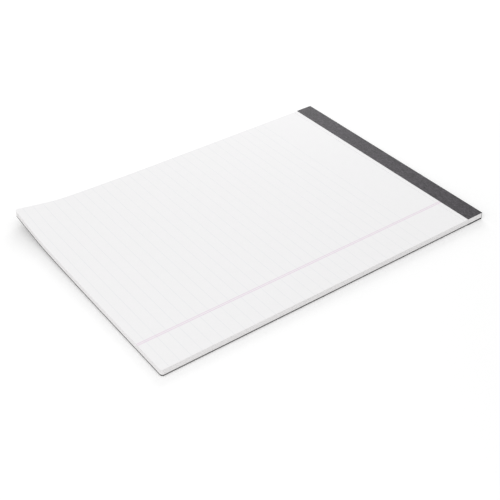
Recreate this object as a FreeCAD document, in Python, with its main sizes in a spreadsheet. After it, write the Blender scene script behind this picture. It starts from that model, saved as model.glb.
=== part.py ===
import FreeCAD, Part
import math
import os
import Sketcher

# A ruled writing pad of 8 1/2 by 11 3/4 inches, in millimetres, lying on its back.
# The head is towards +Y, the ruled face is up, and the middle of the footprint is the origin.
# The sheets lie on a chipboard, and wire staples hold both together near the head.
# One strip is folded over the head, above the staples' crowns and below their clinched legs.
# Sheets and board curl up together at the left corner of the foot, and the foot's corners
# are worn round.

# Every driving size: its name, its value, and what it measures.
DIMENSIONS = (
    ("sheet_width", 215.9, "width of sheets and board"),
    ("sheet_length", 298.45, "length of sheets and board, foot to head"),
    ("sheet_total", 50, "number of sheets in the block"),
    ("sheet_thickness", 0.09, "thickness of one sheet"),
    ("corner_wear", 2.0, "radius of the foot's worn corners"),
    ("board_thickness", 1.0, "thickness of the chipboard"),
    ("strip_thickness", 0.3, "thickness of the binding strip"),
    ("strip_front", 15.3, "depth of the front flap, from the head of the sheets"),
    ("strip_back", 15.3, "depth of the back flap, from the head of the sheets"),
    ("staple_wide", 0.7, "width of the flat staple wire, along the pad"),
    ("staple_thick", 0.5, "thickness of the flat staple wire"),
    ("staple_crown", 13.0, "outer width of a staple"),
    ("staple_clinch", 4.5, "length of a clinched leg, from the staple's side"),
    ("staple_bend", 0.4, "inner radius of the staple's bends"),
    ("staple_inset", 7.5, "distance of the staples from the head of the sheets"),
    ("staple_edge", 32.0, "distance of the outer staples' middle from the sides"),
    ("staple_play", 0.04, "clearance round the wire in its channel"),
    ("curl_heading", 37.3, "angle in degrees between the long side and the way across the curl"),
    ("curl_reach", 105.0, "distance across the curl, from the corner to where the lift starts"),
    ("rise_radius", 1980.0, "radius of the long rise, at the board's underside"),
    ("rise_turn", 2.0, "turn of the long rise in degrees"),
    ("bend_radius", 100.0, "radius of the bend, at the board's underside"),
    ("bend_turn", 9.3, "turn of the bend in degrees"),
)
STAPLE_NAMES = ("staple_left", "staple_middle", "staple_right")

# What follows from the driving sizes, as expressions over the sheet.
BLOCK_THICKNESS = "dims.sheet_total * dims.sheet_thickness"
STACK_THICKNESS = f"({BLOCK_THICKNESS} + dims.board_thickness)"
FOOT_Y = "-(dims.sheet_length + dims.strip_thickness) / 2"
HEAD_Y = "(dims.sheet_length - dims.strip_thickness) / 2"
STAPLE_PITCH = "(dims.sheet_width / 2 - dims.staple_edge)"
# A length beyond every point of the pad, for cuts and profiles that run past it.
BEYOND = "(dims.sheet_width + dims.sheet_length)"
# The length of the curl's straight flap before it is trimmed, which takes it past the corner.
FLAP = "2 * dims.curl_reach"
RIGHT_ANGLE = 90

# How a sketch's constraints name the points of a line or an arc, and the sketch's axes.
POINTS = ("whole", "start", "end", "centre")
START, END, CENTRE = (POINTS.index(point) for point in POINTS[1:])
X_AXIS, Y_AXIS = -1, -2
ORIGIN = (X_AXIS, START)
UP = FreeCAD.Vector(0, 0, 1)

doc = FreeCAD.newDocument("writing_pad")
dims = doc.addObject("Spreadsheet::Sheet", "dims")
for row, (alias, value, meaning) in enumerate(DIMENSIONS, start=1):
    dims.set(f"A{row}", alias)
    dims.set(f"B{row}", str(value))
    dims.set(f"C{row}", meaning)
    dims.setAlias(f"B{row}", alias)
doc.recompute()


def number(expression):
    """The value of an expression over the sheet."""
    return float(dims.evalExpression(expression))


def new_body(name, x="0", y="0", z="0"):
    """A body with its Label and its place, given as expressions."""
    body = doc.addObject("PartDesign::Body", name)
    body.Label = name
    for axis, place in (("x", x), ("y", y), ("z", z)):
        body.setExpression(f"Placement.Base.{axis}", place)
    return body


def new_sketch(body, name, plane):
    """A sketch on one of the body's own origin planes."""
    sketch = body.newObject("Sketcher::SketchObject", name)
    support = next(f for f in body.Origin.OriginFeatures if f.Role == plane)
    sketch.AttachmentSupport = [(support, "")]
    sketch.MapMode = "FlatFace"
    return sketch


def add_line(sketch, start, end):
    return sketch.addGeometry(Part.LineSegment(FreeCAD.Vector(*start), FreeCAD.Vector(*end)), False)


def add_arc(sketch, centre, radius, from_angle, to_angle):
    """An arc that runs anticlockwise between two angles in radians."""
    circle = Part.Circle(FreeCAD.Vector(*centre), UP, radius)
    return sketch.addGeometry(Part.ArcOfCircle(circle, from_angle, to_angle), False)


def tie(sketch, kind, *places):
    """A geometric constraint."""
    sketch.addConstraint(Sketcher.Constraint(kind, *places))


def measure(sketch, name, expression, kind, *places):
    """A constraint with a size, bound to the sheet."""
    value = number(expression)
    if kind == "Angle":
        value = math.radians(value)
    index = sketch.addConstraint(Sketcher.Constraint(kind, *places, value))
    sketch.renameConstraint(index, name)
    sketch.setExpression(f"Constraints.{name}", expression)


def add_rectangle(sketch, name, left, right, low, high):
    """A rectangle with its four sides at distances from the sketch's origin."""
    west, east, south, north = (number(side) for side in (left, right, low, high))
    corners = ((west, south), (east, south), (east, north), (west, north))
    sides = [add_line(sketch, corners[k], corners[(k + 1) % 4]) for k in range(4)]
    for k, side in enumerate(sides):
        tie(sketch, "Coincident", side, END, sides[(k + 1) % 4], START)
        tie(sketch, "Horizontal" if k % 2 == 0 else "Vertical", side)
    measure(sketch, f"{name}_left", left, "DistanceX", *ORIGIN, sides[0], START)
    measure(sketch, f"{name}_right", right, "DistanceX", *ORIGIN, sides[0], END)
    measure(sketch, f"{name}_low", low, "DistanceY", *ORIGIN, sides[0], START)
    measure(sketch, f"{name}_high", high, "DistanceY", *ORIGIN, sides[2], START)


def add_sheet_outline(sketch):
    """A sheet seen from above: square corners at the head and worn, round ones at the foot."""
    half_size = "dims.sheet_width / 2"
    half, length, worn = (
        number(size) for size in (half_size, "dims.sheet_length", "dims.corner_wear")
    )
    quarter = math.pi / 2
    foot = add_line(sketch, (worn - half, 0), (half - worn, 0))
    right_corner = add_arc(sketch, (half - worn, worn), worn, 3 * quarter, 4 * quarter)
    right = add_line(sketch, (half, worn), (half, length))
    head = add_line(sketch, (half, length), (-half, length))
    left = add_line(sketch, (-half, length), (-half, worn))
    left_corner = add_arc(sketch, (worn - half, worn), worn, 2 * quarter, 3 * quarter)
    tie(sketch, "Tangent", foot, END, right_corner, START)
    tie(sketch, "Tangent", right_corner, END, right, START)
    tie(sketch, "Tangent", left, END, left_corner, START)
    tie(sketch, "Tangent", left_corner, END, foot, START)
    tie(sketch, "Coincident", right, END, head, START)
    tie(sketch, "Coincident", head, END, left, START)
    tie(sketch, "Equal", right_corner, left_corner)
    for level in (foot, head):
        tie(sketch, "Horizontal", level)
    for upright in (left, right):
        tie(sketch, "Vertical", upright)
    tie(sketch, "PointOnObject", foot, START, X_AXIS)
    measure(sketch, "corner_wear", "dims.corner_wear", "Radius", right_corner)
    measure(sketch, "sheet_left", f"-{half_size}", "DistanceX", *ORIGIN, left, START)
    measure(sketch, "sheet_right", half_size, "DistanceX", *ORIGIN, right, START)
    measure(sketch, "sheet_head", "dims.sheet_length", "DistanceY", *ORIGIN, head, START)


def pad_evenly(body, name, sketch, length):
    """A pad to both sides of its sketch."""
    pad = body.newObject("PartDesign::Pad", name)
    pad.Profile = sketch
    pad.SideType = "Symmetric"
    pad.setExpression("Length", length)
    return pad


def curl_sketch(body, name, offset, thickness):
    """The section across the curl of a layer, offset from the board's underside.

    Sketch X runs from the corner into the pad, across the curl, and sketch Y runs up.
    From the far end the layer is flat, then it rises along a wide arc, bends along a
    tighter one and runs straight past the corner. Its two faces share the arcs' centres.
    """
    sketch = new_sketch(body, name, "XZ_Plane")
    sketch.AttachmentOffset = FreeCAD.Placement(
        FreeCAD.Vector(0, 0, 0), FreeCAD.Rotation(FreeCAD.Vector(0, 1, 0), RIGHT_ANGLE)
    )
    sketch.setExpression("AttachmentOffset.Base.x", "-dims.sheet_width / 2")
    sketch.setExpression("AttachmentOffset.Rotation.Angle", f"{RIGHT_ANGLE} - dims.curl_heading")

    reach = number("dims.curl_reach")
    far_end = number(BEYOND)
    flap = number(FLAP)
    rise = math.radians(number("dims.rise_turn"))
    steep = rise + math.radians(number("dims.bend_turn"))
    rise_radius = number(f"dims.rise_radius - {offset}")
    bend_radius = number(f"dims.bend_radius - {offset}")
    rise_centre = (reach, rise_radius)
    apart = rise_radius - bend_radius
    bend_centre = (reach - apart * math.sin(rise), rise_radius - apart * math.cos(rise))

    def at(centre, radius, turned):
        return (centre[0] - radius * math.sin(turned), centre[1] - radius * math.cos(turned))

    def face(height):
        """The flat, the two arcs and the straight flap of one face, and the flap's tip."""
        outer, inner = rise_radius - height, bend_radius - height
        root = at(bend_centre, inner, steep)
        tip = (root[0] - flap * math.cos(steep), root[1] + flap * math.sin(steep))
        down = -math.pi / 2
        flat = add_line(sketch, (far_end, height), (reach, height))
        long_arc = add_arc(sketch, rise_centre, outer, down - rise, down)
        short_arc = add_arc(sketch, bend_centre, inner, down - steep, down - rise)
        straight = add_line(sketch, root, tip)
        tie(sketch, "Tangent", flat, END, long_arc, END)
        tie(sketch, "Tangent", long_arc, START, short_arc, END)
        tie(sketch, "Tangent", short_arc, START, straight, START)
        tie(sketch, "Horizontal", flat)
        return flat, long_arc, short_arc, straight, tip

    lower = face(0)
    upper = face(number(thickness))
    end = add_line(sketch, lower[4], upper[4])
    far = add_line(sketch, (far_end, 0), (far_end, number(thickness)))
    tie(sketch, "Coincident", end, START, lower[3], END)
    tie(sketch, "Coincident", end, END, upper[3], END)
    tie(sketch, "Coincident", far, START, lower[0], START)
    tie(sketch, "Coincident", far, END, upper[0], START)
    tie(sketch, "Coincident", lower[1], CENTRE, upper[1], CENTRE)
    tie(sketch, "Coincident", lower[2], CENTRE, upper[2], CENTRE)
    tie(sketch, "Parallel", lower[3], upper[3])
    tie(sketch, "Perpendicular", end, lower[3])
    tie(sketch, "Vertical", far)
    tie(sketch, "PointOnObject", lower[0], START, X_AXIS)
    measure(sketch, "reach", "dims.curl_reach", "DistanceX", *ORIGIN, lower[1], CENTRE)
    measure(sketch, "far_end", BEYOND, "DistanceX", *ORIGIN, lower[0], START)
    measure(sketch, "thickness", thickness, "Distance", far)
    measure(sketch, "rise_radius", f"dims.rise_radius - {offset}", "Radius", lower[1])
    measure(sketch, "rise_turn", "dims.rise_turn", "Angle", lower[1])
    measure(sketch, "bend_radius", f"dims.bend_radius - {offset}", "Radius", lower[2])
    measure(sketch, "bend_turn", "dims.bend_turn", "Angle", lower[2])
    measure(sketch, "flap", FLAP, "Distance", lower[3])
    return sketch


def curled_layer(name, place_z, offset, thickness):
    """A layer of the pad: its curled section, trimmed to the pad's outline.

    Its own origin is the middle of its foot edge, on its underside.
    """
    body = new_body(name, y=FOOT_Y, z=place_z)
    section = curl_sketch(body, f"{name}_section", offset, thickness)
    pad_evenly(body, f"{name}_layer", section, f"2 * {BEYOND}")

    outline = new_sketch(body, f"{name}_outline", "XY_Plane")
    far = f"2 * {BEYOND}"
    add_rectangle(outline, "outside", f"-{far}", far, f"-{far}", far)
    add_sheet_outline(outline)
    trim = body.newObject("PartDesign::Pocket", f"{name}_trim")
    trim.Profile = outline
    trim.Type = "ThroughAll"
    trim.SideType = "Symmetric"
    body.Tip = trim
    cut_staple_channels(body, name, f"(0 - {offset})")
    return body


def staple_path(body, name, floor, middle, play):
    """The middle line of a staple's wire, as seen from the foot of the pad.

    It runs from one clinched tip under the board, up a leg, along the crown and back.
    """
    sketch = new_sketch(body, name, "XZ_Plane")
    radius_size = "dims.staple_bend + dims.staple_thick / 2"
    half_size = "(dims.staple_crown - dims.staple_thick) / 2"
    tip_size = f"(dims.staple_crown / 2 - dims.staple_clinch - {play})"
    low_size = f"{floor} + dims.staple_thick / 2"
    high_size = f"{floor} + {STACK_THICKNESS} - dims.staple_thick / 2"
    radius, half, tip = (number(size) for size in (radius_size, half_size, tip_size))
    low, high, x = (number(size) for size in (low_size, high_size, middle))
    left, right = x - half, x + half

    def bend(turn_x, turn_z, quadrant):
        quarter = math.pi / 2
        return add_arc(sketch, (turn_x, turn_z), radius, quadrant * quarter, (quadrant + 1) * quarter)

    tip_left = add_line(sketch, (x - tip, low), (left + radius, low))
    low_left = bend(left + radius, low + radius, 2)
    leg_left = add_line(sketch, (left, low + radius), (left, high - radius))
    high_left = bend(left + radius, high - radius, 1)
    crown = add_line(sketch, (left + radius, high), (right - radius, high))
    high_right = bend(right - radius, high - radius, 0)
    leg_right = add_line(sketch, (right, high - radius), (right, low + radius))
    low_right = bend(right - radius, low + radius, 3)
    tip_right = add_line(sketch, (right - radius, low), (x + tip, low))
    straights = (tip_left, leg_left, crown, leg_right, tip_right)
    bends = (low_left, high_left, high_right, low_right)
    for before, turn, after in zip(straights, bends, straights[1:]):
        tie(sketch, "Tangent", before, END, turn, END)
        tie(sketch, "Tangent", turn, START, after, START)
    for turn in bends[1:]:
        tie(sketch, "Equal", low_left, turn)
    for level in (tip_left, crown, tip_right):
        tie(sketch, "Horizontal", level)
    for upright in (leg_left, leg_right):
        tie(sketch, "Vertical", upright)
    measure(sketch, "bend", radius_size, "Radius", low_left)
    measure(sketch, "low", low_size, "DistanceY", *ORIGIN, tip_left, START)
    measure(sketch, "high", high_size, "DistanceY", *ORIGIN, crown, START)
    measure(sketch, "leg_left", f"{middle} - {half_size}", "DistanceX", *ORIGIN, leg_left, START)
    measure(sketch, "leg_right", f"{middle} + {half_size}", "DistanceX", *ORIGIN, leg_right, START)
    measure(sketch, "tip_left", f"{middle} - {tip_size}", "DistanceX", *ORIGIN, tip_left, START)
    measure(sketch, "tip_right", f"{middle} + {tip_size}", "DistanceX", *ORIGIN, tip_right, END)
    return sketch, f"{middle} - {tip_size}"


def run_wire(body, kind, name, floor, middle, row, play):
    """Flat wire, or the channel round it, along a staple's path.

    floor, middle and row are the board's underside, the crown's middle and the row of
    staples in the body, and play is added on every side of the wire.
    """
    path, tip = staple_path(body, f"{name}_path", floor, middle, play)
    path.setExpression("AttachmentOffset.Base.z", f"0 - {row}")
    section = new_sketch(body, f"{name}_section", "YZ_Plane")
    section.setExpression("AttachmentOffset.Base.z", tip)
    half = f"(dims.staple_wide / 2 + {play})"
    low, high = f"{floor} - {play}", f"{floor} + dims.staple_thick + {play}"
    add_rectangle(section, "wire", f"{row} - {half}", f"{row} + {half}", low, high)
    doc.recompute()
    wire = body.newObject(f"PartDesign::{kind}", name)
    wire.Profile = section
    wire.Spine = path
    return wire, path


def cut_staple_channels(body, name, floor):
    """The channels of all staples, open at the top of the sheets and under the board."""
    doc.recompute()
    uncut = body.Shape.Volume
    row = "(dims.sheet_length - dims.staple_inset)"
    first = f"(0 - {STAPLE_PITCH})"
    channel, path = run_wire(
        body, "SubtractivePipe", f"{name}_channel", floor, first, row, "dims.staple_play"
    )
    pattern = body.newObject("PartDesign::LinearPattern", f"{name}_channels")
    pattern.Originals = [channel]
    pattern.Direction = (path, ["H_Axis"])
    pattern.setExpression("Length", f"2 * {STAPLE_PITCH}")
    pattern.Occurrences = len(STAPLE_NAMES)
    body.Tip = pattern
    doc.recompute()
    if not body.Shape.Volume < uncut:
        raise RuntimeError(f"{name}: the staple channels cut nothing")


def staple(name, place_x):
    """A staple of flat wire, with its origin under the board, below its crown's middle."""
    body = new_body(name, x=place_x, y=f"{HEAD_Y} - dims.staple_inset", z="dims.strip_thickness")
    body.Tip = run_wire(body, "AdditivePipe", f"{name}_wire", "0", "0", "0", "0")[0]
    return body


def binding_strip():
    """The strip folded over the head: two flaps and the spine between, with rounded folds.

    Its own origin is on the head's face of the sheets, at the height of its underside.
    """
    body = new_body("binding_strip", y=HEAD_Y)
    section = new_sketch(body, "strip_section", "YZ_Plane")
    thick = number("dims.strip_thickness")
    top = number(f"2 * dims.strip_thickness + {STACK_THICKNESS}")
    front, back = -number("dims.strip_front"), -number("dims.strip_back")
    quarter = math.pi / 2
    face = add_line(section, (front, top), (0, top))
    upper_fold = add_arc(section, (0, top - thick), thick, 0, quarter)
    spine = add_line(section, (thick, top - thick), (thick, thick))
    lower_fold = add_arc(section, (0, thick), thick, 3 * quarter, 4 * quarter)
    under = add_line(section, (0, 0), (back, 0))
    back_edge = add_line(section, (back, 0), (back, thick))
    inner_back = add_line(section, (back, thick), (0, thick))
    inner_spine = add_line(section, (0, thick), (0, top - thick))
    inner_face = add_line(section, (0, top - thick), (front, top - thick))
    front_edge = add_line(section, (front, top - thick), (front, top))
    tie(section, "Tangent", face, END, upper_fold, END)
    tie(section, "Tangent", upper_fold, START, spine, START)
    tie(section, "Tangent", spine, END, lower_fold, END)
    tie(section, "Tangent", lower_fold, START, under, START)
    inside = (under, back_edge, inner_back, inner_spine, inner_face, front_edge, face)
    for before, after in zip(inside, inside[1:]):
        tie(section, "Coincident", before, END, after, START)
    tie(section, "Coincident", upper_fold, CENTRE, inner_spine, END)
    tie(section, "Coincident", lower_fold, CENTRE, inner_spine, START)
    for line in (face, inner_face, inner_back):
        tie(section, "Horizontal", line)
    for line in (back_edge, front_edge):
        tie(section, "Vertical", line)
    tie(section, "PointOnObject", under, END, X_AXIS)
    tie(section, "PointOnObject", inner_spine, START, Y_AXIS)
    measure(section, "thickness", "dims.strip_thickness", "Radius", upper_fold)
    measure(section, "thickness_below", "dims.strip_thickness", "Radius", lower_fold)
    measure(section, "stack", STACK_THICKNESS, "Distance", inner_spine)
    measure(section, "front", "dims.strip_front", "Distance", inner_face)
    measure(section, "back", "dims.strip_back", "Distance", inner_back)
    body.Tip = pad_evenly(body, "strip_fold", section, "dims.sheet_width")
    return body


pieces = [
    curled_layer("backing_board", "dims.strip_thickness", "0", "dims.board_thickness"),
    curled_layer(
        "sheet_block",
        "dims.strip_thickness + dims.board_thickness",
        "dims.board_thickness",
        BLOCK_THICKNESS,
    ),
    binding_strip(),
]
for place, name in enumerate(STAPLE_NAMES):
    pieces.append(staple(name, f"{place - 1} * {STAPLE_PITCH}"))
doc.recompute()

for item in doc.Objects:
    if "Invalid" in item.State or "Error" in item.State:
        raise RuntimeError(f"{item.Label} failed: {item.State}")
for piece in pieces:
    if piece.Shape.isNull() or not piece.Shape.isValid() or len(piece.Shape.Solids) != 1:
        raise RuntimeError(f"{piece.Label} isn't one valid solid")

os.makedirs("parts", exist_ok=True)
for piece in pieces:
    piece.Shape.exportStep(f"parts/{piece.Label}.step")
    print(piece.Label, round(piece.Shape.Volume, 3), piece.Shape.BoundBox)
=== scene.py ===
import math

import bmesh
import bpy
import numpy as np
from mathutils import Matrix, Vector


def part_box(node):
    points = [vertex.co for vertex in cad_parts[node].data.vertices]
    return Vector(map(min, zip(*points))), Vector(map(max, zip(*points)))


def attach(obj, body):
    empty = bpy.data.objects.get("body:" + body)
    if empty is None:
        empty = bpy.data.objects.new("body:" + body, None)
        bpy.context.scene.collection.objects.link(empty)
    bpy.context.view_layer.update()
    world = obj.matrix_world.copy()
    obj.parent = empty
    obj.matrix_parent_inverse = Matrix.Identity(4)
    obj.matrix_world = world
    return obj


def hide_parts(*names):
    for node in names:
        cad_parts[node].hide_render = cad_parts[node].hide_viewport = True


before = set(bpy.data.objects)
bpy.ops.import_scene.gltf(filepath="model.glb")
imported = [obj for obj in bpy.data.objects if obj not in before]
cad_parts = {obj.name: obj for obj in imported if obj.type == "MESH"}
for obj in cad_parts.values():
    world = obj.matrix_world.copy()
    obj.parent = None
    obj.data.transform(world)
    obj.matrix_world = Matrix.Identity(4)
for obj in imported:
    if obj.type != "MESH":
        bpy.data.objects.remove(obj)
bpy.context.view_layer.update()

bl_info = {
    "name": "Ruled Writing Pad",
    "version": (1, 0, 0),
    "blender": (4, 5, 0),
    "location": "3D View > Sidebar > Writing Pad",
    "description": "Sheets, board, binding strip, staples, printed lines and stage of a ruled writing pad",
    "category": "Add Mesh",
}

MM = 0.001

SHEETS_LOW, SHEETS_HIGH = (Vector(corner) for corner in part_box("sheet_block"))
STRIP_LOW, STRIP_HIGH = (Vector(corner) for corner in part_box("binding_strip"))
STAPLES = ("staple_left", "staple_middle", "staple_right")

# The board lies one thickness of the strip above the surface, and the page one below the top.
UNDERSIDE = Vector(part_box("backing_board")[0]).z
STRIP_THICKNESS = UNDERSIDE - STRIP_LOW.z
BOARD_THICKNESS = SHEETS_LOW.z - UNDERSIDE
TOP = STRIP_HIGH.z
PAGE = TOP - STRIP_THICKNESS
STACK = PAGE - UNDERSIDE

# The page's edges, and the line where both flaps of the strip end.
FOOT, HEAD = SHEETS_LOW.y, SHEETS_HIGH.y
LEFT, RIGHT = SHEETS_LOW.x, SHEETS_HIGH.x
FLAP_END = STRIP_LOW.y

# An edge that turns by more than the crease stays sharp. No divisor is below the tiny length.
CREASE = math.radians(35)
TINY = 1e-9

# Points on each rounding: the foot's worn corners, the board's edges and the strip's folds.
CORNER_POINTS = 5
EDGE_POINTS = 4
FOLD_POINTS = 6

# The seeds of the sheets' edges and of the flap's edge, and how many waves each adds up.
SHEETS_SEED = 11
FLAP_SEED = 5
WAVES = 4

# How far in a sheet's edge lies, as shares of the stray: the whole edge, and its waves.
STRAY_EVEN = (0.3, 0.7)
STRAY_WAVY = 0.25

# The flecks of the chipboard: how many of its slivers they are, and how they differ in tone.
PALE_SHARE, PALE_TONE = 0.14, 1.9
DARK_SHARE, DARK_TONE = 0.16, 0.4

# Marks are dropped onto the page from this height in metres, and the camera's sensor in mm.
DROP = 1.0
SENSOR = 36.0


def length(name, description, default):
    """A length of the pad, in metres."""
    return bpy.props.FloatProperty(
        name=name, description=description, default=default, unit="LENGTH", precision=5
    )


def angle(name, description, degrees):
    """An angle, given in degrees and held in radians."""
    return bpy.props.FloatProperty(
        name=name, description=description, default=math.radians(degrees), subtype="ANGLE"
    )


def colour(name, description, default):
    """A linear colour."""
    return bpy.props.FloatVectorProperty(
        name=name, description=description, default=default, size=3, subtype="COLOR", min=0, max=1
    )


def point(name, description, default):
    """A point, in metres."""
    return bpy.props.FloatVectorProperty(
        name=name, description=description, default=default, size=3, subtype="TRANSLATION"
    )


def factor(name, description, default):
    """A number without a unit."""
    return bpy.props.FloatProperty(name=name, description=description, default=default)


class PadCurl(bpy.types.PropertyGroup):
    """The lift of the left corner of the foot."""

    heading: angle("Heading", "Angle between the long side and the way across the curl", 37.3)
    reach: length("Reach", "Distance across the curl from the corner to where it starts", 105 * MM)
    rise_radius: length("Rise Radius", "Radius of the long rise at the board's underside", 1980 * MM)
    rise_turn: angle("Rise Turn", "Turn of the long rise", 2.0)
    bend_radius: length("Bend Radius", "Radius of the bend at the board's underside", 100 * MM)
    bend_turn: angle("Bend Turn", "Turn of the bend", 9.3)


class PadSheets(bpy.types.PropertyGroup):
    """The sheets, their cut edges and the board."""

    count: bpy.props.IntProperty(name="Sheets", description="Number of sheets", default=50, min=2)
    cell: length("Cell", "Size of the mesh cells on the page", 4 * MM)
    stray: length("Stray", "How far a sheet's edge may lie inside the cut", 0.12 * MM)
    wave: length("Wave", "Distance over which a sheet's edge wanders", 30 * MM)
    board_edge: length("Board Edge", "Rounding of the board's cut edges", 0.08 * MM)
    corner_wear: length("Corner Wear", "Rounding of the foot's worn corners", 2.1 * MM)


class PadPrint(bpy.types.PropertyGroup):
    """The printed lines and the perforation."""

    rule_count: bpy.props.IntProperty(name="Rules", description="Number of ruled lines", default=28)
    rule_pitch: length("Rule Pitch", "Distance between ruled lines", 8.73125 * MM)
    rule_first: length("First Rule", "Distance from the foot to the lowest line", 6.45 * MM)
    rule_width: length("Rule Width", "Width of a ruled line", 0.25 * MM)
    margin_inset: length("Margin Inset", "From the right edge to between the margin lines", 30.6 * MM)
    margin_gap: length("Margin Gap", "Distance between the two margin lines", 1.5 * MM)
    margin_width: length("Margin Width", "Width of a margin line", 0.5 * MM)
    tear_inset: length("Tear Inset", "Distance from the head to the perforation", 19.05 * MM)
    slit_pitch: length("Slit Pitch", "Distance between slits", 1.2 * MM)
    slit_length: length("Slit Length", "Length of a slit", 0.85 * MM)
    slit_width: length("Slit Width", "Width of a slit", 0.12 * MM)
    film: length("Film", "How far a mark stands above the page", 0.015 * MM)
    margin_film: length("Margin Film", "How far the margin lines stand, over the rest", 0.018 * MM)
    end_gap: length("End Gap", "How far from the page's edge a line ends", 0.05 * MM)
    cell: length("Cell", "Length of a line's mesh cells", 2 * MM)


class PadStrip(bpy.types.PropertyGroup):
    """The binding strip folded over the head."""

    cell: length("Cell", "Size of the mesh cells on the strip", 0.9 * MM)
    relief: length("Relief", "How far the crowns press through the front flap", 0.05 * MM)
    relief_reach: length("Relief Reach", "How far the pressed patch spreads", 1.1 * MM)
    edge_wander: length("Edge Wander", "How far the flap's cut edge wanders", 0.06 * MM)
    edge_wave: length("Edge Wave", "Distance over which the cut edge wanders", 15.4 * MM)


class PadColours(bpy.types.PropertyGroup):
    """Colours of the pad's materials."""

    page: colour("Page", "White writing paper", (0.885, 0.880, 0.885))
    edge: colour("Cut Edge", "Cut edges of the sheets", (0.880, 0.868, 0.870))
    rule: colour("Rule Ink", "Faint grey-blue ink of the ruled lines", (0.775, 0.790, 0.812))
    margin: colour("Margin Ink", "Lilac ink of the margin lines", (0.771, 0.614, 0.740))
    slit: colour("Slit", "Shade inside the perforation", (0.480, 0.475, 0.480))
    board: colour("Chipboard", "Grey chipboard", (0.265, 0.255, 0.242))
    # The edge is much darker than the face: partly the knife's burnish, partly painted shade of the dark
    # line beneath the sheets.
    board_edge: colour("Board Edge", "Chipboard's edge, burnished by the knife", (0.100, 0.096, 0.094))
    strip: colour("Strip", "Dark grey binding strip", (0.037, 0.0325, 0.039))
    # Near black: partly the strip's dark core, partly painted shade of the gap under the head.
    cut: colour("Strip's Cut", "Black core at the strip's cut ends", (0.010, 0.009, 0.010))
    wire: colour("Wire", "Galvanised staple wire", (0.560, 0.565, 0.575))
    floor: colour("Floor", "Plain white floor", (0.920, 0.920, 0.920))


class PadStage(bpy.types.PropertyGroup):
    """Camera and light."""

    target_x: length("Target X", "Where the view's middle meets the page", 37.6 * MM)
    target_y: length("Target Y", "Where the view's middle meets the page", -26.5 * MM)
    distance: length("Distance", "From the target to the camera", 745.9 * MM)
    azimuth: angle("Azimuth", "Heading of the view, from +Y towards +X", -54.22)
    elevation: angle("Elevation", "Angle of the view below level", 37.163)
    roll: angle("Roll", "Turn of the camera about its view", -0.585)
    lens: factor("Lens", "Focal length in millimetres on a 36 mm sensor", 71.27)
    floor_size: length("Floor Size", "Side of the floor", 6.0)
    floor_gap: length("Floor Gap", "How far the floor lies below the pad", 0.01 * MM)
    sky: factor("Sky", "Strength of the even light from all round", 0.75)
    key: factor("Key", "Power of the lamp beyond the head, in watts", 2.3)
    key_place: point("Key Place", "Where the lamp beyond the head hangs", (-0.62, 0.49, 0.40))
    fill: factor("Fill", "Power of the lamp at the foot, in watts", 1.9)
    fill_place: point("Fill Place", "Where the lamp at the foot hangs", (0.35, -0.61, 0.70))
    lamp_size: length("Lamp Size", "Side of each square lamp", 0.5)
    white: factor("White", "Light added to the floor as it is seen", 0.11)
    white_from: length("White From", "Where the floor starts to fade to plain white", 0.3)
    white_to: length("White To", "Where the floor is plain white", 0.9)


GROUPS = {
    "pad_curl": PadCurl,
    "pad_sheets": PadSheets,
    "pad_print": PadPrint,
    "pad_strip": PadStrip,
    "pad_colours": PadColours,
    "pad_stage": PadStage,
}


def settings(name):
    """One group of the scene's settings."""
    return getattr(bpy.context.scene, name)


class Nodes:
    """Short calls for making a node tree."""

    def __init__(self, tree):
        self.tree = tree

    def add(self, kind, values=None, **options):
        """A node with its options and input values; a value may be another node's output."""
        node = self.tree.nodes.new(kind)
        for option, value in options.items():
            setattr(node, option, value)
        for socket, value in (values or {}).items():
            self.feed(node.inputs[socket], value)
        return node

    def feed(self, socket, value):
        """Link another node's output to an input, or set the input's own value."""
        if isinstance(value, bpy.types.NodeSocket):
            self.tree.links.new(value, socket)
        else:
            socket.default_value = value

    def math(self, operation, *values):
        """A Math node's result."""
        node = self.tree.nodes.new("ShaderNodeMath")
        node.operation = operation
        for socket, value in zip(node.inputs, values):
            self.feed(socket, value)
        return node.outputs[0]

    def vector(self, operation, *values):
        """A Vector Math node's result."""
        node = self.tree.nodes.new("ShaderNodeVectorMath")
        node.operation = operation
        for socket, value in zip(node.inputs, values):
            self.feed(socket, value)
        return node.outputs["Value" if operation == "LENGTH" else "Vector"]

    def noise(self, place, scale, detail=2.0, roughness=0.5):
        """Noise between 0 and 1; scale is its cells for each metre, or those along each axis."""
        if isinstance(scale, tuple):
            place, scale = self.stretch(place, scale), 1.0
        values = {"Vector": place, "Scale": scale, "Detail": detail, "Roughness": roughness}
        return self.add("ShaderNodeTexNoise", values).outputs["Fac"]

    def stretch(self, place, scale):
        """A place scaled by its own factor along each axis."""
        return self.add("ShaderNodeMapping", {"Vector": place, "Scale": scale}).outputs[0]

    def spread(self, noise):
        """Noise stretched about its middle, to use its whole range."""
        values = {"Value": noise, "From Min": 0.3, "From Max": 0.7}
        return self.add("ShaderNodeMapRange", values).outputs[0]

    def shade(self, base, amount, low, high):
        """A colour multiplied by a grey that runs from low to high."""
        grey = self.add(
            "ShaderNodeMapRange", {"Value": amount, "To Min": low, "To Max": high}
        ).outputs[0]
        return self.vector("MULTIPLY", base, grey)

    def mix(self, share, first, second):
        """A blend of two colours."""
        node = self.add("ShaderNodeMix", data_type="RGBA")
        self.feed(node.inputs[0], share)
        for socket, value in ((node.inputs[6], first), (node.inputs[7], second)):
            self.feed(socket, value if isinstance(value, bpy.types.NodeSocket) else (*value, 1))
        return node.outputs[2]


def new_material(name):
    """A material with its node maker, its shader and the surface's own coordinates."""
    material = bpy.data.materials.new(name)
    material.use_nodes = True
    nodes = Nodes(material.node_tree)
    shader = material.node_tree.nodes["Principled BSDF"]
    place = nodes.add("ShaderNodeTexCoord").outputs["Object"]
    return material, nodes, shader, place


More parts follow.
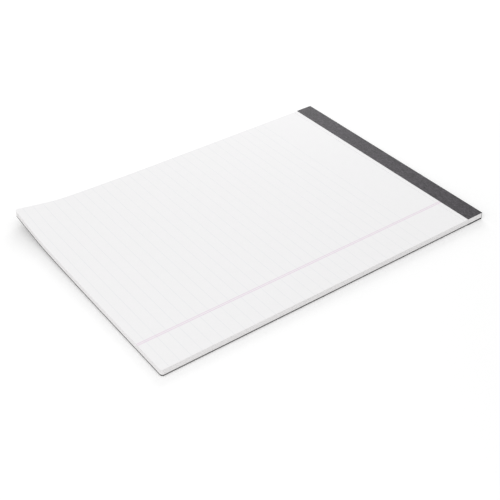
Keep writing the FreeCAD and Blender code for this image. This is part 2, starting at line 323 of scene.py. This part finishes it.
def add_bump(nodes, shader, height, distance, strength=1.0):
    """Fine relief on a surface, with distance in metres."""
    values = {"Height": height, "Distance": distance, "Strength": strength}
    bump = nodes.add("ShaderNodeBump", values)
    nodes.feed(shader.inputs["Normal"], bump.outputs[0])


def seen_ray(nodes):
    """1 for rays from the camera, straight, mirrored or through glass, and 0 for light."""
    path = nodes.add("ShaderNodeLightPath").outputs
    turned = nodes.math("MAXIMUM", path["Is Glossy Ray"], path["Is Transmission Ray"])
    return nodes.math("MAXIMUM", path["Is Camera Ray"], turned)


def paper_material():
    """Smooth uncoated paper: soft cloudy formation and a fine fibre tooth."""
    material, nodes, shader, place = new_material("white_paper")
    cloud = nodes.noise(place, 140, detail=3)
    tooth = nodes.noise(place, 4200, detail=3, roughness=0.6)
    fibres = nodes.noise(place, (1800, 5200, 1800))
    base = nodes.shade(tuple(settings("pad_colours").page), cloud, 0.988, 1.008)
    base = nodes.shade(base, tooth, 0.985, 1.012)
    nodes.feed(shader.inputs["Base Color"], base)
    shader.inputs["Roughness"].default_value = 0.72
    shader.inputs["Specular IOR Level"].default_value = 0.2
    height = nodes.math("ADD", tooth, nodes.math("MULTIPLY", fibres, 0.5))
    add_bump(nodes, shader, height, 0.012 * MM, 0.6)
    return material


def edge_material():
    """The guillotined side of the sheets: fine streaks that run with the sheets."""
    material, nodes, shader, place = new_material("white_paper_cut_edge")
    streaks = nodes.noise(place, (90, 90, 9000), detail=3, roughness=0.65)
    bands = nodes.noise(place, (14, 14, 1500), detail=1)
    nicks = nodes.noise(place, (900, 900, 9000))
    base = nodes.shade(tuple(settings("pad_colours").edge), streaks, 0.93, 1.05)
    base = nodes.shade(base, bands, 0.965, 1.03)
    base = nodes.shade(base, nicks, 0.975, 1.02)
    nodes.feed(shader.inputs["Base Color"], base)
    shader.inputs["Roughness"].default_value = 0.85
    shader.inputs["Specular IOR Level"].default_value = 0.2
    add_bump(nodes, shader, streaks, 0.03 * MM, 0.6)
    return material


def print_and_shade_material(name, tint, breaks):
    """A flat mark that sits in the paper's tooth: printed ink for the lines, painted shade for the slits;
    breaks is how unevenly it took.
    """
    material, nodes, shader, place = new_material(name)
    tooth = nodes.noise(place, 2600, detail=3, roughness=0.6)
    nodes.feed(shader.inputs["Base Color"], nodes.shade(tuple(tint), tooth, 1 - breaks, 1 + breaks))
    shader.inputs["Roughness"].default_value = 0.7
    shader.inputs["Specular IOR Level"].default_value = 0.2
    return material


def board_material(name, tint, flap_shade=None):
    """Grey chipboard: pulped fibres in clouds, with pale and dark flecks.

    flap_shade is painted shade of the gap under the head, laid on a cut edge beside the flap.
    """
    material, nodes, shader, place = new_material(name)
    base = tuple(tint)
    cloud = nodes.noise(place, 220, detail=4, roughness=0.6)
    fibres = nodes.noise(place, (700, 1900, 2600), detail=4, roughness=0.65)
    slivers = nodes.stretch(place, (620, 1150, 1150))
    flecks = nodes.add("ShaderNodeTexVoronoi", {"Vector": slivers, "Scale": 1.0, "Randomness": 1.0})
    ragged = nodes.math("MULTIPLY", nodes.noise(place, 2600), 0.62)
    inside = nodes.math("LESS_THAN", flecks.outputs["Distance"], ragged)
    draw = nodes.add("ShaderNodeSeparateColor", {"Color": flecks.outputs["Color"]}).outputs[0]
    pale = nodes.math("MULTIPLY", inside, nodes.math("GREATER_THAN", draw, 1 - PALE_SHARE))
    dark = nodes.math("MULTIPLY", inside, nodes.math("LESS_THAN", draw, DARK_SHARE))
    pulp = nodes.shade(base, cloud, 0.86, 1.12)
    pulp = nodes.shade(pulp, fibres, 0.84, 1.14)
    pulp = nodes.mix(nodes.math("MULTIPLY", pale, 0.5), pulp, [PALE_TONE * c for c in base])
    pulp = nodes.mix(nodes.math("MULTIPLY", dark, 0.55), pulp, [DARK_TONE * c for c in base])
    # Beside the flap the edge takes painted shade, black, for the gap under the head.
    if flap_shade:
        along = nodes.add("ShaderNodeSeparateXYZ", {"Vector": place}).outputs["Y"]
        pulp = nodes.mix(nodes.math("GREATER_THAN", along, FLAP_END), pulp, flap_shade)
    nodes.feed(shader.inputs["Base Color"], pulp)
    shader.inputs["Roughness"].default_value = 0.92
    shader.inputs["Specular IOR Level"].default_value = 0.2
    add_bump(nodes, shader, nodes.math("ADD", fibres, cloud), 0.05 * MM, 0.7)
    return material


def strip_material():
    """Dark binding paper: a fine embossed grain, cloudy tone and a satin sheen."""
    material, nodes, shader, place = new_material("grey_strip")
    tint = tuple(settings("pad_colours").strip)
    cloud = nodes.noise(place, 230, detail=3, roughness=0.6)
    grain = nodes.noise(place, (380, 760, 760), detail=4, roughness=0.7)
    tooth = nodes.noise(place, 1400, detail=3, roughness=0.6)
    base = nodes.shade(tint, nodes.spread(cloud), 0.78, 1.22)
    base = nodes.shade(base, nodes.spread(grain), 0.2, 1.8)
    base = nodes.shade(base, nodes.spread(tooth), 0.6, 1.4)
    nodes.feed(shader.inputs["Base Color"], base)
    rough = nodes.add("ShaderNodeMapRange", {"Value": tooth, "To Min": 0.42, "To Max": 0.62})
    nodes.feed(shader.inputs["Roughness"], rough.outputs[0])
    shader.inputs["Specular IOR Level"].default_value = 0.28
    relief = nodes.math("ADD", grain, nodes.math("MULTIPLY", tooth, 0.5))
    add_bump(nodes, shader, relief, 0.3 * MM, 1.0)
    return material


def strip_cut_and_shade_material():
    """The strip's cut ends: near black, partly the paper's dark core and partly painted shade; rough where
    the knife went through.
    """
    material, nodes, shader, place = new_material("grey_strip_cut")
    fibres = nodes.noise(place, (2400, 1200, 6000), detail=3)
    base = nodes.shade(tuple(settings("pad_colours").cut), fibres, 0.7, 1.3)
    nodes.feed(shader.inputs["Base Color"], base)
    shader.inputs["Roughness"].default_value = 0.9
    shader.inputs["Specular IOR Level"].default_value = 0.1
    return material


def wire_material():
    """Galvanised wire, drawn along its length."""
    material, nodes, shader, place = new_material("staple_wire")
    lines = nodes.noise(place, (300, 14000, 300), detail=3)
    base = nodes.shade(tuple(settings("pad_colours").wire), lines, 0.85, 1.1)
    nodes.feed(shader.inputs["Base Color"], base)
    rough = nodes.add("ShaderNodeMapRange", {"Value": lines, "To Min": 0.25, "To Max": 0.45})
    nodes.feed(shader.inputs["Roughness"], rough.outputs[0])
    shader.inputs["Metallic"].default_value = 1.0
    return material


def layer_height(x, y, height):
    """Height above the board's underside of a layer's face, which lies flat at that height.

    Across the curl the face is flat, rises along a wide arc, bends along a tighter one
    and runs straight to the corner. All faces share the arcs' centres.
    """
    curl = settings("pad_curl")
    across = (x - LEFT) * math.sin(curl.heading) + (y - FOOT) * math.cos(curl.heading)
    gentle, steep = curl.rise_turn, curl.rise_turn + curl.bend_turn
    wide, tight = curl.rise_radius - height, curl.bend_radius - height
    apart = curl.rise_radius - curl.bend_radius
    bend_across = curl.reach - apart * math.sin(gentle)
    bend_up = curl.rise_radius - apart * math.cos(gentle)
    rise_run = np.clip(curl.reach - across, 0, wide * math.sin(gentle))
    rise = curl.rise_radius - np.sqrt(wide**2 - rise_run**2)
    bend_run = np.clip(bend_across - across, tight * math.sin(gentle), tight * math.sin(steep))
    bend = bend_up - np.sqrt(tight**2 - bend_run**2)
    past = np.maximum(bend_across - tight * math.sin(steep) - across, 0)
    in_bend = bend_across - across > tight * math.sin(gentle)
    return np.where(in_bend, bend + past * math.tan(steep), rise)


def steps(low, high, cell):
    """Places from low to high, about a cell apart."""
    return np.linspace(low, high, max(2, math.ceil((high - low) / cell) + 1))


def page_steps():
    """The mesh lines across and along the page, closer at the foot's corners."""
    sheets = settings("pad_sheets")
    close = sheets.corner_wear * np.linspace(0, 1, CORNER_POINTS)
    across = steps(LEFT, RIGHT, sheets.cell)[1:-1]
    along = steps(FOOT, HEAD, sheets.cell)[1:]
    return (
        np.concatenate([LEFT + close, across, RIGHT - close[::-1]]),
        np.concatenate([FOOT + close, along]),
    )


def blunted(x, y):
    """Points of a layer, with the foot's square corners made round."""
    radius = settings("pad_sheets").corner_wear
    off_y = np.maximum(radius - (y - FOOT), 0)
    for side, inward in ((LEFT, 1), (RIGHT, -1)):
        off_x = np.maximum(radius - np.abs(x - side), 0)
        slant = np.hypot(off_x, off_y)
        pull = 1 - np.maximum(off_x, off_y) / np.maximum(slant, TINY)
        pull = np.where((off_x > 0) & (off_y > 0), pull, 0)
        x, y = x + inward * pull * off_x, y + pull * off_y
    return x, y


def layer_mesh(name, rings):
    """A closed curled layer between its lowest and highest ring.

    Each ring is a height and how far its points lie inside the cut: one figure for all
    of them, or one for each point round the layer.
    """
    across, along = page_steps()
    wide, long = len(across), len(along)
    grid_x, grid_y = blunted(*np.meshgrid(across, along, indexing="ij"))
    path = once_round(wide, long)
    edge = path[:, 0], path[:, 1]
    inward_x = (path[:, 0] == 0).astype(float) - (path[:, 0] == wide - 1)
    inward_y = (path[:, 1] == 0).astype(float) - (path[:, 1] == long - 1)

    points, faces, parts = [], [], []
    grids = []
    for height, inset in (rings[0], rings[-1]):
        start = sum(len(block) for block in points)
        grids.append(start + np.arange(wide * long).reshape(wide, long))
        x, y = grid_x.copy(), grid_y.copy()
        x[edge] += inward_x * inset
        y[edge] += inward_y * inset
        z = UNDERSIDE + layer_height(x, y, height)
        points.append(np.stack([x, y, z], -1).reshape(-1, 3))
    loops = [grids[0][edge]]
    for height, inset in rings[1:-1]:
        start = sum(len(block) for block in points)
        loops.append(start + np.arange(len(path)))
        x, y = grid_x[edge] + inward_x * inset, grid_y[edge] + inward_y * inset
        points.append(np.stack([x, y, UNDERSIDE + layer_height(x, y, height)], -1))
    loops.append(grids[1][edge])

    for grid in grids:
        cells = np.stack([grid[:-1, :-1], grid[1:, :-1], grid[1:, 1:], grid[:-1, 1:]], -1)
        faces.append(cells.reshape(-1, 4))
        parts.append(np.zeros(faces[-1].shape[0], int))
    for lower, upper in zip(loops, loops[1:]):
        after_low, after_high = np.roll(lower, -1), np.roll(upper, -1)
        faces.append(np.stack([lower, after_low, after_high, upper], -1))
        parts.append(np.ones(len(lower), int))
    return closed_mesh(name, np.concatenate(points), np.concatenate(faces), np.concatenate(parts))


def once_round(wide, long):
    """Grid indices once round a grid's edge."""
    south = [(i, 0) for i in range(wide - 1)]
    east = [(wide - 1, j) for j in range(long - 1)]
    north = [(i, long - 1) for i in range(wide - 1, 0, -1)]
    west = [(0, j) for j in range(long - 1, 0, -1)]
    return np.array(south + east + north + west)


def closed_mesh(name, points, faces, parts):
    """A closed mesh with outward faces, smooth but for its creases; parts picks the materials."""
    mesh = bpy.data.meshes.new(name)
    mesh.from_pydata(points.tolist(), [], [list(face) for face in faces])
    mesh.polygons.foreach_set("material_index", parts.tolist())
    work = bmesh.new()
    work.from_mesh(mesh)
    bmesh.ops.recalc_face_normals(work, faces=work.faces)
    for face in work.faces:
        face.smooth = True
    for edge in work.edges:
        edge.smooth = edge.calc_face_angle(0) < CREASE
    work.to_mesh(mesh)
    work.free()
    mesh.update()
    return mesh


def new_piece(name, mesh, materials, slot, *nodes):
    """A finished piece that rides on the pad and may stand for CAD nodes."""
    piece = bpy.data.objects.new(name, mesh)
    bpy.context.scene.collection.objects.link(piece)
    for material in materials:
        mesh.materials.append(material)
    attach(piece, "root")
    if nodes:
        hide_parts(*nodes)
    return piece


def wander(random, count, most):
    """A smooth closed run of figures between -1 and 1, of waves with fewer cycles than most."""
    turns = np.linspace(0, 2 * math.pi, count, endpoint=False)
    waves = np.zeros(count)
    for _ in range(WAVES):
        cycles = random.integers(1, max(2, most))
        waves += np.sin(cycles * turns + random.uniform(0, 2 * math.pi))
    return waves / WAVES


class PAD_OT_sheets(bpy.types.Operator):
    """Build the block of sheets, every sheet's cut edge a step of its own"""

    bl_idname = "pad.sheets"
    bl_label = "Sheets"

    def execute(self, context):
        sheets = settings("pad_sheets")
        random = np.random.default_rng(SHEETS_SEED)
        across, along = page_steps()
        count = len(once_round(len(across), len(along)))
        outline = 2 * (RIGHT - LEFT + HEAD - FOOT)
        thickness = (STACK - BOARD_THICKNESS) / sheets.count
        rings = []
        for sheet in range(sheets.count):
            waves = wander(random, count, round(outline / sheets.wave))
            inset = sheets.stray * (random.uniform(*STRAY_EVEN) + STRAY_WAVY * waves)
            low = BOARD_THICKNESS + sheet * thickness
            rings += [(low, inset), (low + thickness, inset)]
        on_cut = np.zeros(count)
        rings[0] = (rings[0][0], on_cut)
        rings[-1] = (rings[-1][0], on_cut)
        mesh = layer_mesh("sheets", rings)
        new_piece("sheets", mesh, [paper_material(), edge_material()], "white_paper", "sheet_block")
        return {"FINISHED"}


class PAD_OT_board(bpy.types.Operator):
    """Build the chipboard under the sheets, with its edges a little crushed by the knife"""

    bl_idname = "pad.board"
    bl_label = "Backing Board"

    def execute(self, context):
        edge = settings("pad_sheets").board_edge
        turns = np.linspace(0, math.pi / 2, EDGE_POINTS)
        lower = [(edge * (1 - math.cos(turn)), edge * (1 - math.sin(turn))) for turn in turns]
        upper = [(BOARD_THICKNESS - height, inset) for height, inset in reversed(lower)]
        mesh = layer_mesh("board", lower + upper)
        tints = settings("pad_colours")
        face = board_material("grey_chipboard", tints.board)
        # The edge is a darker copy of the board, partly burnished and partly painted shade; beside the
        # flap it is black painted shade.
        side = board_material("chipboard_edge_and_shade", tints.board_edge, tuple(tints.cut))
        new_piece("board", mesh, [face, side], "grey_chipboard", "backing_board")
        return {"FINISHED"}


class PAD_OT_strip(bpy.types.Operator):
    """Build the strip folded over the head, with the staples' crowns pressing through"""

    bl_idname = "pad.strip"
    bl_label = "Binding Strip"

    def execute(self, context):
        strip = settings("pad_strip")
        section, outside = self.section(strip)
        places = steps(LEFT, RIGHT, strip.cell)
        x, y = np.meshgrid(places, section[:, 0], indexing="ij")
        x, z = np.meshgrid(places, section[:, 1], indexing="ij")
        random = np.random.default_rng(FLAP_SEED)
        drift = wander(random, len(places), round((RIGHT - LEFT) / strip.edge_wave))
        beside_end = np.clip(1 - (y - FLAP_END) / (2 * strip.cell), 0, 1)
        y = y + beside_end * strip.edge_wander * (1 - drift[:, None]) / 2
        z = z + (z > PAGE + STRIP_THICKNESS / 2) * self.relief(strip, x, y)

        index = np.arange(x.size).reshape(x.shape)
        after = np.roll(index, -1, axis=1)
        faces = np.stack([index[:-1], after[:-1], after[1:], index[1:]], -1).reshape(-1, 4).tolist()
        points = np.stack([x, y, z], -1)
        parts = [0] * len(faces)
        caps = self.caps(section, outside)
        faces += [[index[end][i] for i in cap] for end in (0, -1) for cap in caps]
        parts += [1] * (len(faces) - len(parts))
        mesh = closed_mesh("strip", points.reshape(-1, 3), faces, np.array(parts))
        finish = [strip_material(), strip_cut_and_shade_material()]
        new_piece("strip", mesh, finish, "grey_strip", "binding_strip")
        return {"FINISHED"}

    def section(self, strip):
        """The strip's section as points once round it, and how many of them lie outside.

        They start at the front flap's cut edge.
        """
        thick = STRIP_THICKNESS
        flap = steps(FLAP_END, HEAD, strip.cell)
        spine = steps(STRIP_LOW.z + thick, PAGE, strip.cell)
        fold = np.linspace(math.pi / 2, 0, FOLD_POINTS)
        outer = [(y, TOP) for y in flap]
        outer += [(HEAD + thick * math.cos(t), PAGE + thick * math.sin(t)) for t in fold[1:]]
        outer += [(HEAD + thick, z) for z in spine[::-1][1:]]
        outer += [(HEAD + thick * math.cos(t), thick - thick * math.sin(t)) for t in fold[::-1][1:]]
        outer += [(y, STRIP_LOW.z) for y in flap[::-1][1:]]
        inner = [(y, thick) for y in flap]
        inner += [(HEAD, z) for z in spine[1:]]
        inner += [(y, PAGE) for y in flap[::-1][1:]]
        return np.array(outer + inner), len(outer)

    def caps(self, section, outside):
        """Faces across the section, from each point outside to the nearest one inside."""
        off = section[:outside, None] - section[None, outside:]
        across = outside + np.hypot(off[..., 0], off[..., 1]).argmin(axis=1)
        faces = []
        for i, (here, there) in enumerate(zip(across, across[1:])):
            faces.append([i, i + 1, there] + ([here] if here != there else []))
        return faces

    def relief(self, strip, x, y):
        """How far the front flap is pressed up above each crown."""
        raised = np.zeros_like(x)
        for name in STAPLES:
            low, high = (Vector(corner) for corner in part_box(name))
            off_x = np.maximum(np.maximum(low.x - x, x - high.x), 0)
            off_y = np.maximum(np.maximum(low.y - y, y - high.y), 0)
            off = np.hypot(off_x, off_y) / strip.relief_reach
            raised = np.maximum(raised, np.exp(-(off**2)))
        return strip.relief * raised


class PAD_OT_staples(bpy.types.Operator):
    """Give the staples their wire"""

    bl_idname = "pad.staples"
    bl_label = "Staples"

    def execute(self, context):
        wire = wire_material()
        for name in STAPLES:
            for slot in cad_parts[name].material_slots:
                slot.material = wire
        return {"FINISHED"}


def marks_tree():
    """A row of flat marks laid on a surface: ruled lines, margin lines or slits.

    A box is put at each of Count places from Start, Step apart, and every point of it is
    dropped onto Surface, keeping its own height, so that half of the box stands above it.
    """
    tree = bpy.data.node_groups.new("laid_marks", "GeometryNodeTree")
    sockets = (
        ("Surface", "NodeSocketObject"),
        ("Start", "NodeSocketVector"),
        ("Step", "NodeSocketVector"),
        ("Count", "NodeSocketInt"),
        ("Mark Size", "NodeSocketVector"),
        ("Vertices X", "NodeSocketInt"),
        ("Vertices Y", "NodeSocketInt"),
        ("Ink", "NodeSocketMaterial"),
    )
    for name, kind in sockets:
        tree.interface.new_socket(name=name, in_out="INPUT", socket_type=kind)
    tree.interface.new_socket(name="Marks", in_out="OUTPUT", socket_type="NodeSocketGeometry")
    nodes = Nodes(tree)
    given = nodes.add("NodeGroupInput").outputs
    row = nodes.add(
        "GeometryNodeMeshLine",
        {"Count": given["Count"], "Start Location": given["Start"], "Offset": given["Step"]},
        mode="OFFSET",
    )
    mark = nodes.add(
        "GeometryNodeMeshCube",
        {
            "Size": given["Mark Size"],
            "Vertices X": given["Vertices X"],
            "Vertices Y": given["Vertices Y"],
        },
    )
    placed = nodes.add(
        "GeometryNodeInstanceOnPoints",
        {"Points": row.outputs["Mesh"], "Instance": mark.outputs["Mesh"]},
    )
    real = nodes.add("GeometryNodeRealizeInstances", {"Geometry": placed.outputs[0]})
    place = nodes.add("GeometryNodeInputPosition").outputs[0]
    split = nodes.add("ShaderNodeSeparateXYZ", {"Vector": place})
    surface = nodes.add("GeometryNodeObjectInfo", {"Object": given["Surface"]})
    above = nodes.vector("ADD", place, (0.0, 0.0, DROP))
    hit = nodes.add(
        "GeometryNodeRaycast",
        {
            "Target Geometry": surface.outputs["Geometry"],
            "Source Position": above,
            "Ray Direction": (0.0, 0.0, -1.0),
            "Ray Length": 2 * DROP,
        },
    )
    own = nodes.add("ShaderNodeCombineXYZ", {"Z": split.outputs["Z"]})
    laid = nodes.vector("ADD", hit.outputs["Hit Position"], own.outputs[0])
    moved = nodes.add("GeometryNodeSetPosition", {"Geometry": real.outputs[0], "Position": laid})
    inked = nodes.add(
        "GeometryNodeSetMaterial", {"Geometry": moved.outputs[0], "Material": given["Ink"]}
    )
    nodes.add("NodeGroupOutput", {"Marks": inked.outputs[0]})
    return tree


def lay_marks(name, tree, values):
    """A piece of marks on the page, made by the tree with these inputs."""
    piece = bpy.data.objects.new(name, bpy.data.meshes.new(name))
    bpy.context.scene.collection.objects.link(piece)
    modifier = piece.modifiers.new(name, "NODES")
    modifier.node_group = tree
    sockets = {s.name: s.identifier for s in tree.interface.items_tree if s.in_out == "INPUT"}
    for label, value in values.items():
        modifier[sockets[label]] = value
    view = bpy.context.evaluated_depsgraph_get()
    mesh = bpy.data.meshes.new_from_object(piece.evaluated_get(view))
    piece.modifiers.clear()
    piece.data = mesh
    mesh.name = name
    if not mesh.polygons:
        raise RuntimeError(f"{name}: no mark was laid")
    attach(piece, "root")
    return piece


class PAD_OT_print(bpy.types.Operator):
    """Lay the ruled lines, the two margin lines and the perforation on the page"""

    bl_idname = "pad.print"
    bl_label = "Ruling and Perforation"

    def execute(self, context):
        line, tints = settings("pad_print"), settings("pad_colours")
        tree = marks_tree()
        page = {"Surface": bpy.data.objects["sheets"]}
        width, below = RIGHT - LEFT, FLAP_END - FOOT
        ends = 2 * line.end_gap
        lay_marks("ruled_lines", tree, page | {
            "Start": ((LEFT + RIGHT) / 2, FOOT + line.rule_first, 0.0),
            "Step": (0.0, line.rule_pitch, 0.0),
            "Count": line.rule_count,
            "Mark Size": (width - ends, line.rule_width, 2 * line.film),
            "Vertices X": round(width / line.cell),
            "Vertices Y": 2,
            "Ink": print_and_shade_material("rule_ink", tints.rule, 0.05),
        })
        lay_marks("margin_lines", tree, page | {
            "Start": (RIGHT - line.margin_inset - line.margin_gap / 2, FOOT + below / 2, 0.0),
            "Step": (line.margin_gap, 0.0, 0.0),
            "Count": 2,
            "Mark Size": (line.margin_width, below - ends, 2 * line.margin_film),
            "Vertices X": 2,
            "Vertices Y": round(below / line.cell),
            "Ink": print_and_shade_material("margin_ink", tints.margin, 0.06),
        })
        slits = math.floor(width / line.slit_pitch)
        first = -(slits - 1) / 2 * line.slit_pitch
        # The slits are grey marks on the page: painted shade where the paper is cut through.
        lay_marks("perforation", tree, page | {
            "Start": (first, HEAD - line.tear_inset, 0.0),
            "Step": (line.slit_pitch, 0.0, 0.0),
            "Count": slits,
            "Mark Size": (line.slit_length, line.slit_width, 2 * line.film),
            "Vertices X": 2,
            "Vertices Y": 2,
            "Ink": print_and_shade_material("slit_shade", tints.slit, 0.1),
        })
        return {"FINISHED"}


class PAD_OT_stage(bpy.types.Operator):
    """Set up the plain floor, the soft light and the camera"""

    bl_idname = "pad.stage"
    bl_label = "Stage"

    def execute(self, context):
        stage = settings("pad_stage")
        self.floor(stage)
        self.sky(stage)
        self.lamp("key", stage.key, stage.lamp_size, stage.key_place)
        self.lamp("fill", stage.fill, stage.lamp_size, stage.fill_place)
        self.camera(stage)
        context.scene.view_settings.view_transform = "Standard"
        return {"FINISHED"}

    def floor(self, stage):
        """The floor, which is seen a little brighter than it is lit, and far off as white."""
        half = stage.floor_size / 2
        level = -stage.floor_gap
        sides = ((-half, -half), (half, -half), (half, half), (-half, half))
        corners = [(x, y, level) for x, y in sides]
        mesh = bpy.data.meshes.new("floor")
        mesh.from_pydata(corners, [], [(0, 1, 2, 3)])
        floor = bpy.data.objects.new("floor", mesh)
        bpy.context.scene.collection.objects.link(floor)
        material, nodes, shader, place = new_material("white_floor")
        shader.inputs["Base Color"].default_value = (*settings("pad_colours").floor, 1)
        shader.inputs["Roughness"].default_value = 0.9
        shader.inputs["Specular IOR Level"].default_value = 0.0
        rise = nodes.add("ShaderNodeMapRange", {
            "Value": nodes.vector("LENGTH", place),
            "From Min": stage.white_from,
            "From Max": stage.white_to,
            "To Min": stage.white,
            "To Max": 1.0,
        })
        glow = nodes.add("ShaderNodeEmission", {"Color": (1.0, 1.0, 1.0, 1.0)})
        nodes.feed(glow.inputs["Strength"], nodes.math("MULTIPLY", seen_ray(nodes), rise.outputs[0]))
        both = nodes.add("ShaderNodeAddShader")
        nodes.feed(both.inputs[0], shader.outputs[0])
        nodes.feed(both.inputs[1], glow.outputs[0])
        output = material.node_tree.nodes["Material Output"]
        nodes.feed(output.inputs["Surface"], both.outputs[0])
        mesh.materials.append(material)

    def sky(self, stage):
        """Even light from all round, which is seen as white, in reflections too."""
        world = bpy.data.worlds.new("sky")
        bpy.context.scene.world = world
        world.use_nodes = True
        nodes = Nodes(world.node_tree)
        white = nodes.math("MULTIPLY", seen_ray(nodes), 1 - stage.sky)
        strength = nodes.math("ADD", stage.sky, white)
        background = world.node_tree.nodes["Background"]
        background.inputs["Color"].default_value = (1, 1, 1, 1)
        nodes.feed(background.inputs["Strength"], strength)

    def lamp(self, name, power, size, place):
        """A square soft lamp that faces the pad and isn't seen itself."""
        light = bpy.data.lights.new(name, "AREA")
        light.energy = power
        light.size = size
        lamp = bpy.data.objects.new(name, light)
        lamp.location = place
        lamp.rotation_euler = (-place).to_track_quat("-Z", "Y").to_euler()
        lamp.visible_camera = False
        bpy.context.scene.collection.objects.link(lamp)

    def camera(self, stage):
        """The camera, aimed at a point of the page from the photograph's side."""
        level = math.cos(stage.elevation)
        ahead = Vector((
            math.sin(stage.azimuth) * level,
            math.cos(stage.azimuth) * level,
            -math.sin(stage.elevation),
        ))
        target = Vector((stage.target_x, stage.target_y, PAGE))
        side = ahead.cross(Vector((0, 0, 1))).normalized()
        upright = Matrix((side, side.cross(ahead), -ahead)).transposed()
        turned = upright @ Matrix.Rotation(stage.roll, 3, "Z")
        lens = bpy.data.cameras.new("camera")
        lens.sensor_width = SENSOR
        lens.lens = stage.lens
        camera = bpy.data.objects.new("camera", lens)
        camera.matrix_world = Matrix.LocRotScale(target - ahead * stage.distance, turned, None)
        bpy.context.scene.collection.objects.link(camera)
        bpy.context.scene.camera = camera


BUILD_STEPS = (PAD_OT_sheets, PAD_OT_board, PAD_OT_strip, PAD_OT_staples, PAD_OT_print, PAD_OT_stage)


class PAD_PT_panel(bpy.types.Panel):
    """Steps that build the writing pad"""

    bl_idname = "PAD_PT_panel"
    bl_label = "Writing Pad"
    bl_space_type = "VIEW_3D"
    bl_region_type = "UI"
    bl_category = "Writing Pad"

    def draw(self, context):
        for step in BUILD_STEPS:
            self.layout.operator(step.bl_idname)
        for group, kind in GROUPS.items():
            box = self.layout.box()
            box.label(text=group.removeprefix("pad_").title())
            for name in kind.__annotations__:
                box.prop(getattr(context.scene, group), name)


def register():
    """Add the settings, the steps and the panel to Blender."""
    for kind in (*GROUPS.values(), *BUILD_STEPS, PAD_PT_panel):
        bpy.utils.register_class(kind)
    for name, group in GROUPS.items():
        setattr(bpy.types.Scene, name, bpy.props.PointerProperty(type=group))


def unregister():
    """Take them out again."""
    for name in GROUPS:
        delattr(bpy.types.Scene, name)
    for kind in reversed((*GROUPS.values(), *BUILD_STEPS, PAD_PT_panel)):
        bpy.utils.unregister_class(kind)


def main():
    """Build the pad and its stage."""
    register()
    for step in BUILD_STEPS:
        group, name = step.bl_idname.split(".")
        getattr(getattr(bpy.ops, group), name)()


if __name__ == "__main__":
    main()
